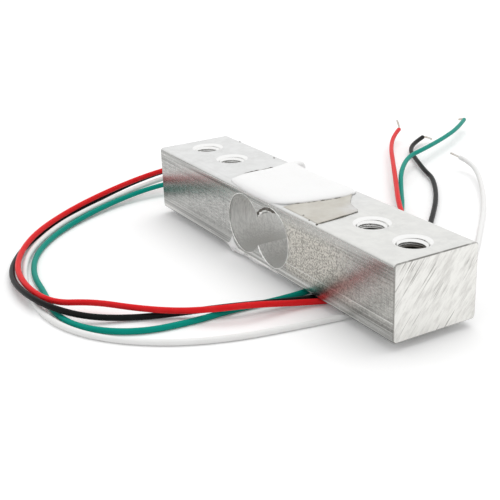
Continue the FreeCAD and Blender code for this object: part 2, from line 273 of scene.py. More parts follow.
# Drawn sides, speckled towards the load end; their colour is kept darker than the top's, partly as painted
# shade of the upright faces
sideFinish = {
    "color": (0.48, 0.48, 0.465), "dark": (0.26, 0.26, 0.25), "pale": (0.70, 0.70, 0.685),
    "toneRange": (0.34, 0.60), "crossShare": 0.35, "glintRange": (0.32, 0.40), "glintShare": 0.7,
    "dieLine": (0.16, 0.16, 0.155), "dieZone": (5.2 * mm, 1.4 * mm), "dieShare": 0.8, "deepShare": 0.85,
    "speckPale": (0.66, 0.635, 0.575), "speckDark": (0.265, 0.25, 0.222), "speckTone": (0.39, 0.60),
    "speckShare": 0.85, "speckStart": (6 * mm, 11 * mm), "speckFade": (30 * mm, 21 * mm), "speckLeast": 0.3,
    "speckEdge": (0.8 * mm, 3.2 * mm), "speckAtEdge": 0.25, "cloudReach": 9 * mm,
    "scoreLine": (0.80, 0.80, 0.78), "scoreHeight": 3.3 * mm, "scoreWidth": (0.13 * mm, 0.04 * mm),
    "scoreStart": (5.5 * mm, 10.5 * mm), "scoreShare": 0.6,
}


def drawnSide(tree, at):  # colour, mask of the speckled part and height for the bump
    spec = sideFinish
    # short crossed grain in the middle of a side, long die lines towards its edges
    nearEdge = shortOf(tree, at.fromMid, barHalf.z, spec["dieZone"])
    short = mixValue(tree, spec["crossShare"], at.brushed, at.crossed)
    tone = mixValue(tree, times(tree, nearEdge, spec["dieShare"]), short, at.die["Lines"])
    color = mixColor(tree, mapRange(tree, tone, *spec["toneRange"]), spec["dark"], spec["color"])
    glint = mapRange(tree, times(tree, at.grain["Tooth"], at.brushed), *spec["glintRange"])
    color = mixColor(tree, times(tree, glint, spec["glintShare"]), color, spec["pale"])
    color = mixColor(tree, times(tree, at.die["Deep"], nearEdge, spec["deepShare"]), color, spec["dieLine"])
    # specks with a cloudy border
    cloud = mathNode(tree, "SUBTRACT", at.grain["Cloud"], 0.5)
    cloudX = mathNode(tree, "MULTIPLY_ADD", cloud, spec["cloudReach"], at.x)
    speckled = times(tree, mapRange(tree, cloudX, *spec["speckStart"]),
                     mapRange(tree, cloudX, *spec["speckFade"], spec["speckLeast"]),
                     shortOf(tree, at.fromMid, barHalf.z, spec["speckEdge"], spec["speckAtEdge"]))
    coarse = useGroup(tree, fineGrain, Coords=at.coords, Size=3300.0)["Tooth"]
    specks = mixColor(tree, mapRange(tree, coarse, *spec["speckTone"]), spec["speckDark"], spec["speckPale"])
    color = mixColor(tree, times(tree, speckled, spec["speckShare"]), color, specks)
    # bright scored line along the lower part
    score = mapRange(tree, awayFrom(tree, at.aboveLow, spec["scoreHeight"]), *spec["scoreWidth"])
    score = times(tree, score, mapRange(tree, cloudX, *spec["scoreStart"]), spec["scoreShare"])
    color = mixColor(tree, score, color, spec["scoreLine"])
    return color, speckled, mixValue(tree, speckled, tone, coarse)


# Lower edge: a pale band of painted highlight below the cut-out, ragged along the die lines, and a dark line
# of painted shadow under it
lowEdgePaintedLight = {
    "band": (0.70, 0.70, 0.68), "bandFoot": (0.3 * mm, 0.5 * mm), "bandHead": (2.2 * mm, 1.1 * mm),
    "bandFar": (-13 * mm, -9 * mm), "bandNear": (24 * mm, 12 * mm), "bandLeast": 0.6,
    "raggedRange": (0.38, 0.56), "raggedLeast": 0.25,
    "line": (0.06, 0.06, 0.055), "lineHeight": (0.46 * mm, 0.28 * mm),
    "lineDepth": (edgeRadius, 0.75 * edgeRadius),
}


def paintLowerEdgeLight(tree, at):  # masks of the band and of the line
    spec = lowEdgePaintedLight
    # painted highlight along the lower rounded edge, and painted shadow on its underside
    band = times(tree, mapRange(tree, at.aboveLow, *spec["bandFoot"]),
                 mapRange(tree, at.aboveLow, *spec["bandHead"]),
                 mapRange(tree, at.x, *spec["bandFar"], spec["bandLeast"]),
                 mapRange(tree, at.x, *spec["bandNear"], spec["bandLeast"]),
                 mapRange(tree, at.die["Lines"], *spec["raggedRange"], spec["raggedLeast"]))
    line = times(tree, shortOf(tree, at.fromSide, barHalf.y, spec["lineDepth"]),
                 mapRange(tree, at.aboveLow, *spec["lineHeight"]))
    return band, line


# Sawn ends: a faint cloudy shade, and thin lines in clusters and in one upper corner
endFinish = {
    "color": (0.825, 0.82, 0.79), "shade": (0.61, 0.60, 0.575), "shadeRange": (0.28, 0.62),
    "line": (0.22, 0.21, 0.195), "lineRange": (0.60, 0.67), "lineShare": 0.65, "clusterRange": (0.47, 0.60),
    "cornerAcross": (-1 * mm, -5 * mm), "cornerBelowTop": 3 * mm, "cornerExtra": 0.03,
    "sawTurn": math.radians(38),
    "shadeNoise": {"run": 0.24, "scale": 1250.0, "detail": 5.0, "roughness": 0.75},
    "lineNoise": {"run": 0.035, "scale": 3300.0, "detail": 2.0, "roughness": 0.55},
    "clusterNoise": {"run": 0.6, "scale": 240.0, "detail": 2.0, "roughness": 0.5},
    "border": (0.24, 0.235, 0.22), "borderWidth": (0.22 * mm, 0.08 * mm),
    "brokenRange": (0.3, 0.55), "brokenLeast": 0.45, "frontReach": 1.2 * mm, "frontLeast": 0.7,
}


def sawNoise(tree, coords, run, **settings):  # noise drawn out along the saw's stroke
    return noiseNode(tree, mapped(tree, coords, (1.0, 1.0, run)), **settings)


def sawnEnd(tree, at):  # colour, height of the thin lines and mask that breaks up the border
    spec = endFinish
    sawCoords = mapped(tree, at.coords, turn=(spec["sawTurn"], 0.0, 0.0))
    shade = sawNoise(tree, sawCoords, **spec["shadeNoise"])
    thin = sawNoise(tree, sawCoords, **spec["lineNoise"])
    corner = times(tree, mapRange(tree, at.y, *spec["cornerAcross"]),
                   mapRange(tree, at.z, barMid.z, barHigh.z - spec["cornerBelowTop"]))
    cluster = mapRange(tree, sawNoise(tree, sawCoords, **spec["clusterNoise"]), *spec["clusterRange"])
    cluster = most(tree, cluster, corner)
    denser = mathNode(tree, "MULTIPLY_ADD", corner, spec["cornerExtra"], thin)
    lines = times(tree, mapRange(tree, denser, *spec["lineRange"]), cluster, spec["lineShare"])
    color = mixColor(tree, mapRange(tree, shade, *spec["shadeRange"]), spec["shade"], spec["color"])
    color = mixColor(tree, lines, color, spec["line"])
    # dark broken line round the face
    past = []
    for reach, limit in ((at.fromSide, barHalf.y), (at.fromMid, barHalf.z)):
        past.append(most(tree, mathNode(tree, "SUBTRACT", reach, limit - edgeRadius), 0.0))
    toBorder = mathNode(tree, "SUBTRACT", edgeRadius, hypotenuse(tree, *past))
    broken = times(tree, mapRange(tree, at.grain["Cloud"], *spec["brokenRange"], spec["brokenLeast"]),
                   mapRange(tree, at.y, -barHalf.y, spec["frontReach"] - barHalf.y, spec["frontLeast"]))
    border = times(tree, mapRange(tree, toBorder, *spec["borderWidth"]), broken)
    return mixColor(tree, border, color, spec["border"]), thin, broken


# Bright milled top, paler towards the load end
topFinish = {
    "color": (0.795, 0.80, 0.795), "near": (0.82, 0.82, 0.795), "nearStart": (6 * mm, 20 * mm),
    "worn": (0.63, 0.63, 0.62), "markShare": 0.3, "deepShare": 0.16,
    "cloudRange": (0.35, 0.65), "cloudShare": 0.3,
}


def milledTop(tree, at):
    spec = topFinish
    color = mixColor(tree, mapRange(tree, at.x, *spec["nearStart"]), spec["color"], spec["near"])
    cloud = mapRange(tree, at.grain["Cloud"], *spec["cloudRange"], 0.0, spec["cloudShare"])
    marks = times(tree, at.marks, spec["markShare"])
    deep = times(tree, at.die["Deep"], spec["deepShare"])
    for wear in (marks, deep, cloud):
        color = mixColor(tree, wear, color, spec["worn"])
    return color


# Reamed cut-out, with painted shade darkening it above and below
boreFinish = {
    "color": (0.90, 0.90, 0.88), "shade": (0.72, 0.72, 0.705), "streakRange": (0.35, 0.65), "metal": 0.6,
    "dark": (0.42, 0.42, 0.41), "paintedShadeReach": (3.4 * mm, 5.4 * mm), "paintedShadeShare": 0.3,
}


def reamedBore(tree, at):
    spec = boreFinish
    color = mixColor(tree, mapRange(tree, at.crossed, *spec["streakRange"]), spec["shade"], spec["color"])
    # painted shade high and low in the cut-out
    dark = mapRange(tree, at.fromMid, *spec["paintedShadeReach"], 0.0, spec["paintedShadeShare"])
    return mixColor(tree, dark, color, spec["dark"])


# Cones round the tapped holes, coloured brighter than the top as a painted highlight
mouthFinish = {"color": (0.95, 0.95, 0.94), "reach": (mouthRadius + 0.14 * mm, mouthRadius + 0.02 * mm)}


def holeMouths(tree, at):  # mask of the cones, alike at both ends
    pair = mounts["load_end_bolts"]
    along = awayFrom(tree, at.fromEnd, pair["pos_m"][0])
    along = mathNode(tree, "SUBTRACT", along, pair["dims"]["spacing_x_mm"] * mm / 2)
    return mapRange(tree, hypotenuse(tree, along, at.y), *mouthFinish["reach"])


barFinish = {
    "topBlend": (0.45 * mm, 0.02 * mm), "sideBlend": (0.3 * mm, 0.03 * mm),
    "endBlend": (0.06 * mm, 0.01 * mm), "sawnEdgeBlend": (0.28 * mm, 0.20 * mm),
    "boreRough": 0.46, "sideRough": (0.23, 0.32), "topRough": (0.28, 0.36),
    "mouthRough": 0.3, "endRough": 0.38, "topRelief": 0.06,
}


def barMaterial():
    spec = barFinish
    material, tree, sockets = newMaterial("millAluminium")
    at = barGround(tree)
    onTop = shortOf(tree, at.fromMid, barHalf.z, spec["topBlend"])
    onSide = shortOf(tree, at.fromSide, barHalf.y, spec["sideBlend"])
    onEnd = shortOf(tree, at.fromEnd, barHalf.x, spec["endBlend"])
    onSawnEdge = shortOf(tree, at.fromEnd, barHalf.x, spec["sawnEdgeBlend"])
    onMouth = holeMouths(tree, at)
    side, speckled, sideRelief = drawnSide(tree, at)
    end, sawLines, broken = sawnEnd(tree, at)
    paintedHighlightBand, paintedShadowLine = paintLowerEdgeLight(tree, at)

    color = mixColor(tree, onSide, reamedBore(tree, at), side)
    # the pale band and the dark line at the lower edge are painted highlight and painted shadow
    for mask, coat in ((paintedHighlightBand, lowEdgePaintedLight["band"]), (onTop, milledTop(tree, at)),
                       (onMouth, mouthFinish["color"]), (paintedShadowLine, lowEdgePaintedLight["line"]),
                       (times(tree, onSawnEdge, broken), endFinish["border"]), (onEnd, end)):
        color = mixColor(tree, mask, color, coat)
    outside = most(tree, onSide, onTop, onEnd, onMouth)
    feed(tree, mixValue(tree, outside, boreFinish["metal"], 1.0), sockets["Metallic"])

    rough = mixValue(tree, onSide, spec["boreRough"], mixValue(tree, speckled, *spec["sideRough"]))
    rough = mixValue(tree, onTop, rough, mixValue(tree, at.marks, *spec["topRough"]))
    rough = mixValue(tree, onMouth, rough, spec["mouthRough"])
    rough = mixValue(tree, onEnd, rough, spec["endRough"])
    relief = mixValue(tree, onSide, at.brushed, sideRelief)
    relief = mixValue(tree, onTop, relief, times(tree, at.die["Lines"], spec["topRelief"]))
    relief = mixValue(tree, onEnd, relief, sawLines)
    dress(tree, sockets, color, rough, relief, strength=0.3, distance=0.03 * mm)
    return material


threadFinish = {
    "bright": ((0.88, 0.88, 0.87), (0.97, 0.97, 0.96)), "deepShade": ((0.06, 0.054, 0.046), (0.16, 0.15, 0.135)),
    "deepShadeDepth": (1.55 * mm, 1.0 * mm), "shadeDeeperBy": 0.42 * mm, "shadeDeeperFrom": (33 * mm, 12 * mm),
    "rough": (0.18, 0.42),
}


def threadMaterial():  # bright at the mouth, with painted shade further in
    spec = threadFinish
    material, tree, sockets = newMaterial("threadMetal", Metallic=1.0)
    coords = objectCoords(tree)
    place = axesOf(tree, coords)
    grain = useGroup(tree, fineGrain, Coords=coords, Size=2600.0)
    bright = mixColor(tree, grain["Cloud"], *spec["bright"])
    deepShade = mixColor(tree, grain["Cloud"], *spec["deepShade"])
    # the painted shade starts deeper in the far holes
    shadeDeeperIn = mapRange(tree, place["X"], *spec["shadeDeeperFrom"], 0.0, spec["shadeDeeperBy"])
    height = mathNode(tree, "ADD", awayFrom(tree, place["Z"], barMid.z), shadeDeeperIn)
    # painted shade deeper in the holes
    color = mixColor(tree, shortOf(tree, height, barHalf.z, spec["deepShadeDepth"]), deepShade, bright)
    rough = mixValue(tree, grain["Tooth"], *spec["rough"])
    dress(tree, sockets, color, rough, grain["Tooth"], strength=0.2, distance=0.02 * mm)
    return material


# dark finish for residue and for beads of painted shadow
residueAndShadeFinish = {"size": 3200.0, "dark": (0.10, 0.092, 0.08), "pale": (0.26, 0.245, 0.22),
                 "cloudRange": (0.35, 0.65), "rough": (0.45, 0.75), "strength": 0.3, "distance": 0.03 * mm}
tornFinish = {"size": 3000.0, "dark": (0.50, 0.50, 0.48), "pale": (0.88, 0.88, 0.86),
              "cloudRange": (0.34, 0.56), "rough": (0.22, 0.5), "strength": 0.4, "distance": 0.04 * mm}


def grainyMaterial(name, spec, **constants):  # two cloudy tones with a fine tooth
    material, tree, sockets = newMaterial(name, **constants)
    grain = useGroup(tree, fineGrain, Coords=objectCoords(tree), Size=spec["size"])
    cloud = mapRange(tree, grain["Cloud"], *spec["cloudRange"])
    color = mixColor(tree, cloud, spec["dark"], spec["pale"])
    rough = mixValue(tree, grain["Tooth"], *spec["rough"])
    dress(tree, sockets, color, rough, grain["Tooth"], spec["strength"], spec["distance"])
    return material


sealantFinish = {"color": (0.94, 0.94, 0.935), "shade": (0.88, 0.875, 0.86), "markShare": 0.35,
                 "rough": (0.34, 0.52)}


def sealantMaterial():
    spec = sealantFinish
    material, tree, sockets = newMaterial("whiteSealant", Subsurface_Weight=0.12, Subsurface_Scale=0.5 * mm,
                                          Subsurface_Radius=(1, 1, 1))
    coords = objectCoords(tree)
    cloud = useGroup(tree, fineGrain, Coords=coords, Size=1500.0)["Cloud"]
    marks = useGroup(tree, handlingMarks, Coords=coords, Size=220.0)["Mask"]
    color = mixColor(tree, times(tree, marks, spec["markShare"]), spec["color"], spec["shade"])
    rough = mixValue(tree, cloud, *spec["rough"])
    dress(tree, sockets, color, rough, cloud, strength=0.3, distance=0.08 * mm)
    return material


filmFinish = {
    "color": (0.53, 0.502, 0.442), "pale": (0.605, 0.585, 0.525), "cloudRange": (0.35, 0.65),
    "worn": (0.66, 0.655, 0.645), "wornX": (11.5 * mm, 15 * mm), "wornY": (-2.5 * mm, 2 * mm),
    "wornCloud": (0.3, 0.5), "markShare": 0.25, "rough": (0.42, 0.58),
}


def filmMaterial():  # rubbed pale at the back of its free end
    spec = filmFinish
    material, tree, sockets = newMaterial("beigeFilm")
    coords = objectCoords(tree)
    place = axesOf(tree, coords)
    grain = useGroup(tree, fineGrain, Coords=coords, Size=2400.0)
    marks = useGroup(tree, handlingMarks, Coords=coords, Size=260.0)["Mask"]
    color = mixColor(tree, mapRange(tree, grain["Cloud"], *spec["cloudRange"]), spec["color"], spec["pale"])
    rubbed = times(tree, mapRange(tree, place["X"], *spec["wornX"]),
                   mapRange(tree, place["Y"], *spec["wornY"]),
                   mapRange(tree, grain["Cloud"], *spec["wornCloud"]))
    rubbed = most(tree, rubbed, times(tree, marks, spec["markShare"]))
    color = mixColor(tree, rubbed, color, spec["worn"])
    rough = mixValue(tree, marks, *spec["rough"])
    dress(tree, sockets, color, rough, grain["Tooth"], strength=0.2, distance=0.02 * mm)
    return material


jacketFinish = {"markShare": 0.4, "rough": (0.30, 0.46), "coat": (0.03, 0.0)}


def jacketMaterial(name, color, worn):
    spec = jacketFinish
    material, tree, sockets = newMaterial(name, Coat_Roughness=0.25, Specular_IOR_Level=0.08)
    coords = objectCoords(tree)
    grain = useGroup(tree, fineGrain, Coords=coords, Size=1800.0)
    marks = useGroup(tree, handlingMarks, Coords=coords, Size=420.0)["Mask"]
    feed(tree, mixValue(tree, marks, *spec["coat"]), sockets["Coat Weight"])
    color = mixColor(tree, times(tree, marks, spec["markShare"]), color, worn)
    rough = mixValue(tree, grain["Cloud"], *spec["rough"])
    dress(tree, sockets, color, rough, grain["Tooth"], strength=0.12, distance=0.02 * mm)
    return material


metalFinish = {"cloudRange": (0.35, 0.7), "smoother": 0.08, "rougher": 0.12}
resinFinish = {"weaveRange": (0.15, 0.4), "smoother": 0.06, "rougher": 0.1}


def metalMaterial(name, color, dark, roughness):
    spec = metalFinish
    material, tree, sockets = newMaterial(name, Metallic=1.0)
    coords = objectCoords(tree)
    grain = useGroup(tree, fineGrain, Coords=coords, Size=4200.0)
    lines = useGroup(tree, drawnLines, Coords=coords, Size=6000.0)["Lines"]
    color = mixColor(tree, mapRange(tree, grain["Cloud"], *spec["cloudRange"]), dark, color)
    rough = mixValue(tree, grain["Tooth"], roughness - spec["smoother"], roughness + spec["rougher"])
    dress(tree, sockets, color, rough, lines, strength=0.2, distance=0.01 * mm)
    return material


def resinMaterial(name, color, dark, roughness):
    spec = resinFinish
    material, tree, sockets = newMaterial(name)
    coords = objectCoords(tree)
    grain = useGroup(tree, fineGrain, Coords=coords, Size=5200.0)
    lines = useGroup(tree, drawnLines, Coords=coords, Size=5200.0)["Lines"]
    weave = times(tree, lines, grain["Tooth"])
    color = mixColor(tree, mapRange(tree, weave, *spec["weaveRange"]), dark, color)
    rough = mixValue(tree, grain["Cloud"], roughness - spec["smoother"], roughness + spec["rougher"])
    dress(tree, sockets, color, rough, weave, strength=0.15, distance=0.01 * mm)
    return material


finishes = {
    "bar_metal": barMaterial(),
    "sealant": sealantMaterial(),
    "film": filmMaterial(),
    "gauge_backing": resinMaterial("amberBacking", (0.62, 0.34, 0.09), (0.45, 0.22, 0.05), 0.4),
    "gauge_foil": metalMaterial("gaugeFoil", (0.66, 0.55, 0.42), (0.46, 0.37, 0.28), 0.3),
    "solder": metalMaterial("brightSolder", (0.74, 0.74, 0.75), (0.50, 0.50, 0.51), 0.24),
    "fine_wire": metalMaterial("enamelledWire", (0.70, 0.34, 0.16), (0.48, 0.20, 0.08), 0.26),
    "board": resinMaterial("glassFibreBoard", (0.07, 0.26, 0.14), (0.04, 0.17, 0.09), 0.45),
    "pad_metal": metalMaterial("padCopper", (0.74, 0.42, 0.26), (0.52, 0.26, 0.15), 0.32),
    "tinned_copper": metalMaterial("tinnedStrands", (0.74, 0.72, 0.69), (0.52, 0.44, 0.36), 0.3),
    "jacket_red": jacketMaterial("redJacket", (0.76, 0.014, 0.018), (0.78, 0.05, 0.05)),
    "jacket_white": jacketMaterial("whiteJacket", (0.91, 0.91, 0.90), (0.83, 0.82, 0.80)),
    "jacket_green": jacketMaterial("greenJacket", (0.0003, 0.285, 0.222), (0.004, 0.32, 0.26)),
    "jacket_black": jacketMaterial("blackJacket", (0.007, 0.007, 0.007), (0.022, 0.022, 0.022)),
}
threadMetal = threadMaterial()
residueAndPaintedShade = grainyMaterial("residueAndPaintedShade", residueAndShadeFinish, Specular_IOR_Level=0.3)
tornEdge = grainyMaterial("tornEdge", tornFinish, Metallic=1.0)
slotOf = {part["node"]: part["material_slot"] for part in frame["record"]["subparts"]}
for name, node in nodes.items():
    node.data.materials.clear()
    node.data.materials.append(finishes[slotOf[name]])
print("finishes:", len(finishes))


# Piece helpers
def newPiece(name, data, slotName, *replaced, finish=None):
    piece = bpy.data.objects.new(name, data)
    bpy.context.scene.collection.objects.link(piece)
    data.materials.append(finish or finishes[slotName])
    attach(piece, "root")
    if replaced:
        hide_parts(*replaced)
    return piece


def meshFrom(name, points, faces):
    mesh = bpy.data.meshes.new(name)
    mesh.from_pydata([tuple(p) for p in points], [], faces)
    mesh.validate()
    mesh.shade_smooth()
    return mesh


def joined(name, *shells):
    points, faces = [], []
    for shellPoints, shellFaces in shells:
        faces += [tuple(i + len(points) for i in face) for face in shellFaces]
        points += shellPoints
    mesh = meshFrom(name, points, faces)
    work = bmesh.new()
    work.from_mesh(mesh)
    bmesh.ops.recalc_face_normals(work, faces=work.faces)
    work.to_mesh(mesh)
    work.free()
    return mesh


def gridFaces(rows, columns, closedAcross=False):
    faces = []
    for row in range(rows - 1):
        for column in range(columns if closedAcross else columns - 1):
            nextColumn = (column + 1) % columns
            faces.append((row * columns + column, row * columns + nextColumn,
                          (row + 1) * columns + nextColumn, (row + 1) * columns + column))
    return faces


def cappedTube(rings, steps):  # faces of a closed tube of rings
    last = (rings - 1) * steps
    return gridFaces(rings, steps, True) + [tuple(reversed(range(steps))), tuple(range(last, last + steps))]


# Bar: rounded stock with the cut-out, the tapped holes and a broken edge round every cut
barSpec = {
    "edgeSteps": 7, "sawnEdge": 0.18 * mm, "sawnSteps": 2,
    "lobeRadius": 5.35 * mm, "lobeSpacing": 9.2 * mm, "lobeSteps": 144,
    "holeRadius": mounts["load_end_bolts"]["dims"]["hole_r_mm"] * mm, "holeSteps": 80,
    "brokenEdge": 0.11 * mm, "brokenSteps": 2, "brokenAngle": math.radians(34),
    "past": 1 * mm,  # how far the cutters stand past the bar
}


def holePlaces():
    places = []
    for name in ("fixed_end_bolts", "load_end_bolts"):
        middle = mounts[name]["pos_m"][0]
        reach = mounts[name]["dims"]["spacing_x_mm"] * mm / 2
        places += [middle - reach, middle + reach]
    return places


def ringStack(rings, steps):  # closed solid of round rings given as (radius, height)
    points = []
    for radius, height in rings:
        for step in range(steps):
            turn = 2 * math.pi * step / steps
            points.append(Vector((radius * math.cos(turn), radius * math.sin(turn), height)))
    return points, cappedTube(len(rings), steps)


def cutWith(target, points, faces):
    mesh = bpy.data.meshes.new("cutter")
    mesh.from_pydata([tuple(p) for p in points], [], faces)
    cutter = bpy.data.objects.new("cutter", mesh)
    bpy.context.scene.collection.objects.link(cutter)
    modifier = target.modifiers.new("cut", "BOOLEAN")
    modifier.object = cutter
    modifier.solver = "EXACT"
    return cutter


def runAlongBar(edge):
    return abs(edge.verts[0].co.x - edge.verts[1].co.x)


def roughBar():
    spec = barSpec
    work = bmesh.new()
    bmesh.ops.create_cube(work, size=1.0)
    for vert in work.verts:
        vert.co = Vector(a + b * c for a, b, c in zip(barMid, barHigh - barLow, vert.co))
    longEdges = [e for e in work.edges if runAlongBar(e) > edgeRadius]
    bmesh.ops.bevel(work, geom=longEdges, offset=edgeRadius, segments=spec["edgeSteps"], profile=0.5,
                    affect="EDGES")
    endEdges = [e for e in work.edges if runAlongBar(e) < 0.001 * mm]
    bmesh.ops.bevel(work, geom=endEdges, offset=spec["sawnEdge"], segments=spec["sawnSteps"], profile=0.5,
                    affect="EDGES")
    mesh = bpy.data.meshes.new("roughBar")
    work.to_mesh(mesh)
    work.free()
    return mesh


def barPiece():
    spec = barSpec
    rough = bpy.data.objects.new("roughBar", roughBar())
    bpy.context.scene.collection.objects.link(rough)
    cutters = []
    past = spec["past"]
    across = Matrix.Rotation(math.radians(90), 3, "X")
    lobe = [(spec["lobeRadius"], barLow.y - past), (spec["lobeRadius"], barHigh.y + past)]
    for side in (-1, 1):
        points, faces = ringStack(lobe, spec["lobeSteps"])
        centre = Vector((side * spec["lobeSpacing"] / 2, 0, barMid.z))
        cutters.append(cutWith(rough, [centre + across @ p for p in points], faces))
    sink = mouthRadius - spec["holeRadius"]
    hole = [(mouthRadius + past, barLow.z - past), (spec["holeRadius"], barLow.z + sink),
            (spec["holeRadius"], barHigh.z - sink), (mouthRadius + past, barHigh.z + past)]
    for place in holePlaces():
        points, faces = ringStack(hole, spec["holeSteps"])
        cutters.append(cutWith(rough, [p + Vector((place, 0, 0)) for p in points], faces))
    edge = rough.modifiers.new("brokenEdge", "BEVEL")
    edge.width = spec["brokenEdge"]
    edge.segments = spec["brokenSteps"]
    edge.limit_method = "ANGLE"
    edge.angle_limit = spec["brokenAngle"]
    edge.harden_normals = True
    rough.data.shade_smooth()
    rough.modifiers.new("normals", "WEIGHTED_NORMAL").keep_sharp = True
    finished = rough.evaluated_get(bpy.context.evaluated_depsgraph_get())
    mesh = bpy.data.meshes.new_from_object(finished)
    mesh.name = "barBody"
    for spare in [rough] + cutters:
        bpy.data.objects.remove(spare, do_unlink=True)
    mesh.materials.clear()
    newPiece("barBody", mesh, "bar_metal", "flexure_bar")


barPiece()


# Threads in the tapped holes
threadSpec = {
    "pitch": 0.8 * mm, "depth": 0.42 * mm, "crest": 0.12, "flank": 0.7, "clear": 0.02 * mm,
    "mouthShare": 0.8, "runOut": 0.5 * mm, "steps": 60, "rowsPerTurn": 8,
}


def threadPiece(place, index):
    spec = threadSpec
    mouth = (mouthRadius - barSpec["holeRadius"]) * spec["mouthShare"]
    low, high = barLow.z + mouth, barHigh.z - mouth
    rows = int((high - low) / spec["pitch"] * spec["rowsPerTurn"])
    points = []
    for row in range(rows + 1):
        z = low + (high - low) * row / rows
        fade = min(1.0, (z - low) / spec["runOut"], (high - z) / spec["runOut"])
        for step in range(spec["steps"]):
            share = step / spec["steps"]
            phase = (z / spec["pitch"] - share) % 1.0
            ridge = min(1.0, max(0.0, (abs(2 * phase - 1) - spec["crest"]) / spec["flank"]))
            radius = barSpec["holeRadius"] - spec["clear"] - spec["depth"] * ridge * fade
            turn = 2 * math.pi * share
            points.append((place + radius * math.cos(turn), radius * math.sin(turn), z))
    faces = [tuple(reversed(f)) for f in gridFaces(rows + 1, spec["steps"], True)]
    newPiece(f"thread_{index}", meshFrom("thread", points, faces), "bar_metal", finish=threadMetal)


for index, place in enumerate(holePlaces()):
    threadPiece(place, index)
print("bar and threads made")


# Smooth lines through given points
def bend(a, b, c, d, steps):  # from b to c, with a before and d after
    line = []
    for step in range(steps):
        t = step / steps
        spot = 2 * b + (c - a) * t + (2 * a - 5 * b + 4 * c - d) * t ** 2 + (3 * b - a - 3 * c + d) * t ** 3
        line.append(spot / 2)
    return line


def smoothLoop(points, steps):  # closed, from points in mm
    count = len(points)
    loop = []
    for index in range(count):
        corners = [Vector(points[(index + k - 1) % count]) for k in range(4)]
        loop += [spot * mm for spot in bend(*corners, steps)]
    return loop


def smoothLine(points, steps):  # open
    ends = [2 * points[0] - points[1]] + points + [2 * points[-1] - points[-2]]
    line = []
    for corners in zip(ends, ends[1:], ends[2:], ends[3:]):
        line += bend(*corners, steps)
    return line + [points[-1]]


# Places on the bar's faces, which fall away at the rounded edges
def edgeDrop(reach, half):
    over = min(max(abs(reach) - (half - edgeRadius), 0.0), edgeRadius)
    return edgeRadius - math.sqrt(edgeRadius ** 2 - over ** 2)


def onTopFace(x, y, rise):
    return Vector((x, y, barHigh.z - edgeDrop(y, barHalf.y) + rise))


def underBar(x, y, rise):
    return Vector((x, y, max(0.0, barLow.z + edgeDrop(y, barHalf.y) - rise)))


def onBackFace(x, z, rise):
    return Vector((x, barHigh.y - edgeDrop(z - barMid.z, barHalf.z) + rise, z))


def onFrontFace(x, z, rise):
    return Vector((x, barLow.y + edgeDrop(z - barMid.z, barHalf.z) - rise, z))


# Sealant: poured mounds with a feathered rim
moundSpec = {
    "loopSteps": 8, "noiseSlice": 3 * mm,
    "shares": [0, 0.012, 0.03, 0.055, 0.085, 0.12, 0.17, 0.24, 0.33, 0.45, 0.6, 0.78],  # from rim to centre
}


def mound(spec, place):
    loop = smoothLoop(spec["outline"], moundSpec["loopSteps"])
    centre = sum(loop, Vector((0, 0))) / len(loop)
    points = []
    for share in moundSpec["shares"]:
        for rim in loop:
            spot = rim.lerp(centre, share)
            depth = min((rim - spot).length / spec["round"], 1.0)
            lumpAt = Vector((spot.x, spot.y, moundSpec["noiseSlice"])) * spec["lumpScale"]
            lump = spec["lumps"] * noise.noise(lumpAt)
            rise = spec["height"] * math.sqrt(1 - (1 - depth) ** 2) + lump * depth
            points.append(place(spot.x, spot.y, max(rise, 0.0)))
    points.append(place(centre.x, centre.y, spec["height"]))
    rings, count = len(moundSpec["shares"]), len(loop)
    last = (rings - 1) * count
    faces = gridFaces(rings, count, True)
    faces += [(last + k, last + (k + 1) % count, len(points) - 1) for k in range(count)]
    faces.append(tuple(reversed(range(count))))
    return points, faces


topSeal = {
    "height": 0.85 * mm, "round": 2.4 * mm, "lumps": 0.05 * mm, "lumpScale": 230.0,
    "outline": [
        (-10.6, -6.4), (-9.4, -7.5), (-4, -7.86), (1, -7.88), (4.8, -7.7), (6.6, -6.6), (7.7, -4.7),
        (8.6, -1.7), (9.3, 1.6), (9.6, 4.8), (8.6, 7.0), (4, 7.2), (-4, 7.15), (-11.6, 7.35), (-12.6, 6.9),
        (-12.0, 4.6), (-11.5, 2.0), (-11.55, -2.7),
    ],
}
newPiece("topSeal", joined("topSeal", mound(topSeal, onTopFace)), "sealant", "top_sealant")

bottomSeal = {
    "height": 1.32 * mm, "round": 1.0 * mm, "lumps": 0.0, "lumpScale": 200.0,
    "outline": [
        (-11.8, -3.2), (-10.6, -4.9), (-8, -5.5), (-2, -5.3), (4, -5.5), (7.6, -4.8), (9.3, -2.4), (9.4, 2),
        (9.5, 5.8), (7.8, 7.0), (-4, 6.9), (-11.2, 7.1), (-12.7, 6.2), (-12.2, 2),
    ],
}
runOut = {
    "height": 0.72 * mm, "round": 0.8 * mm, "lumps": 0.12 * mm, "lumpScale": 420.0,
    "outline": [
        (-12.2, -5.0), (-10.4, -7.3), (-8.4, -7.75), (-5, -7.6), (-1.5, -7.5), (1.4, -6.9), (2.4, -5.2),
        (-5, -3.6),
    ],
}
newPiece("bottomSeal", joined("bottomSeal", mound(bottomSeal, underBar), mound(runOut, underBar)), "sealant",
         "bottom_sealant")

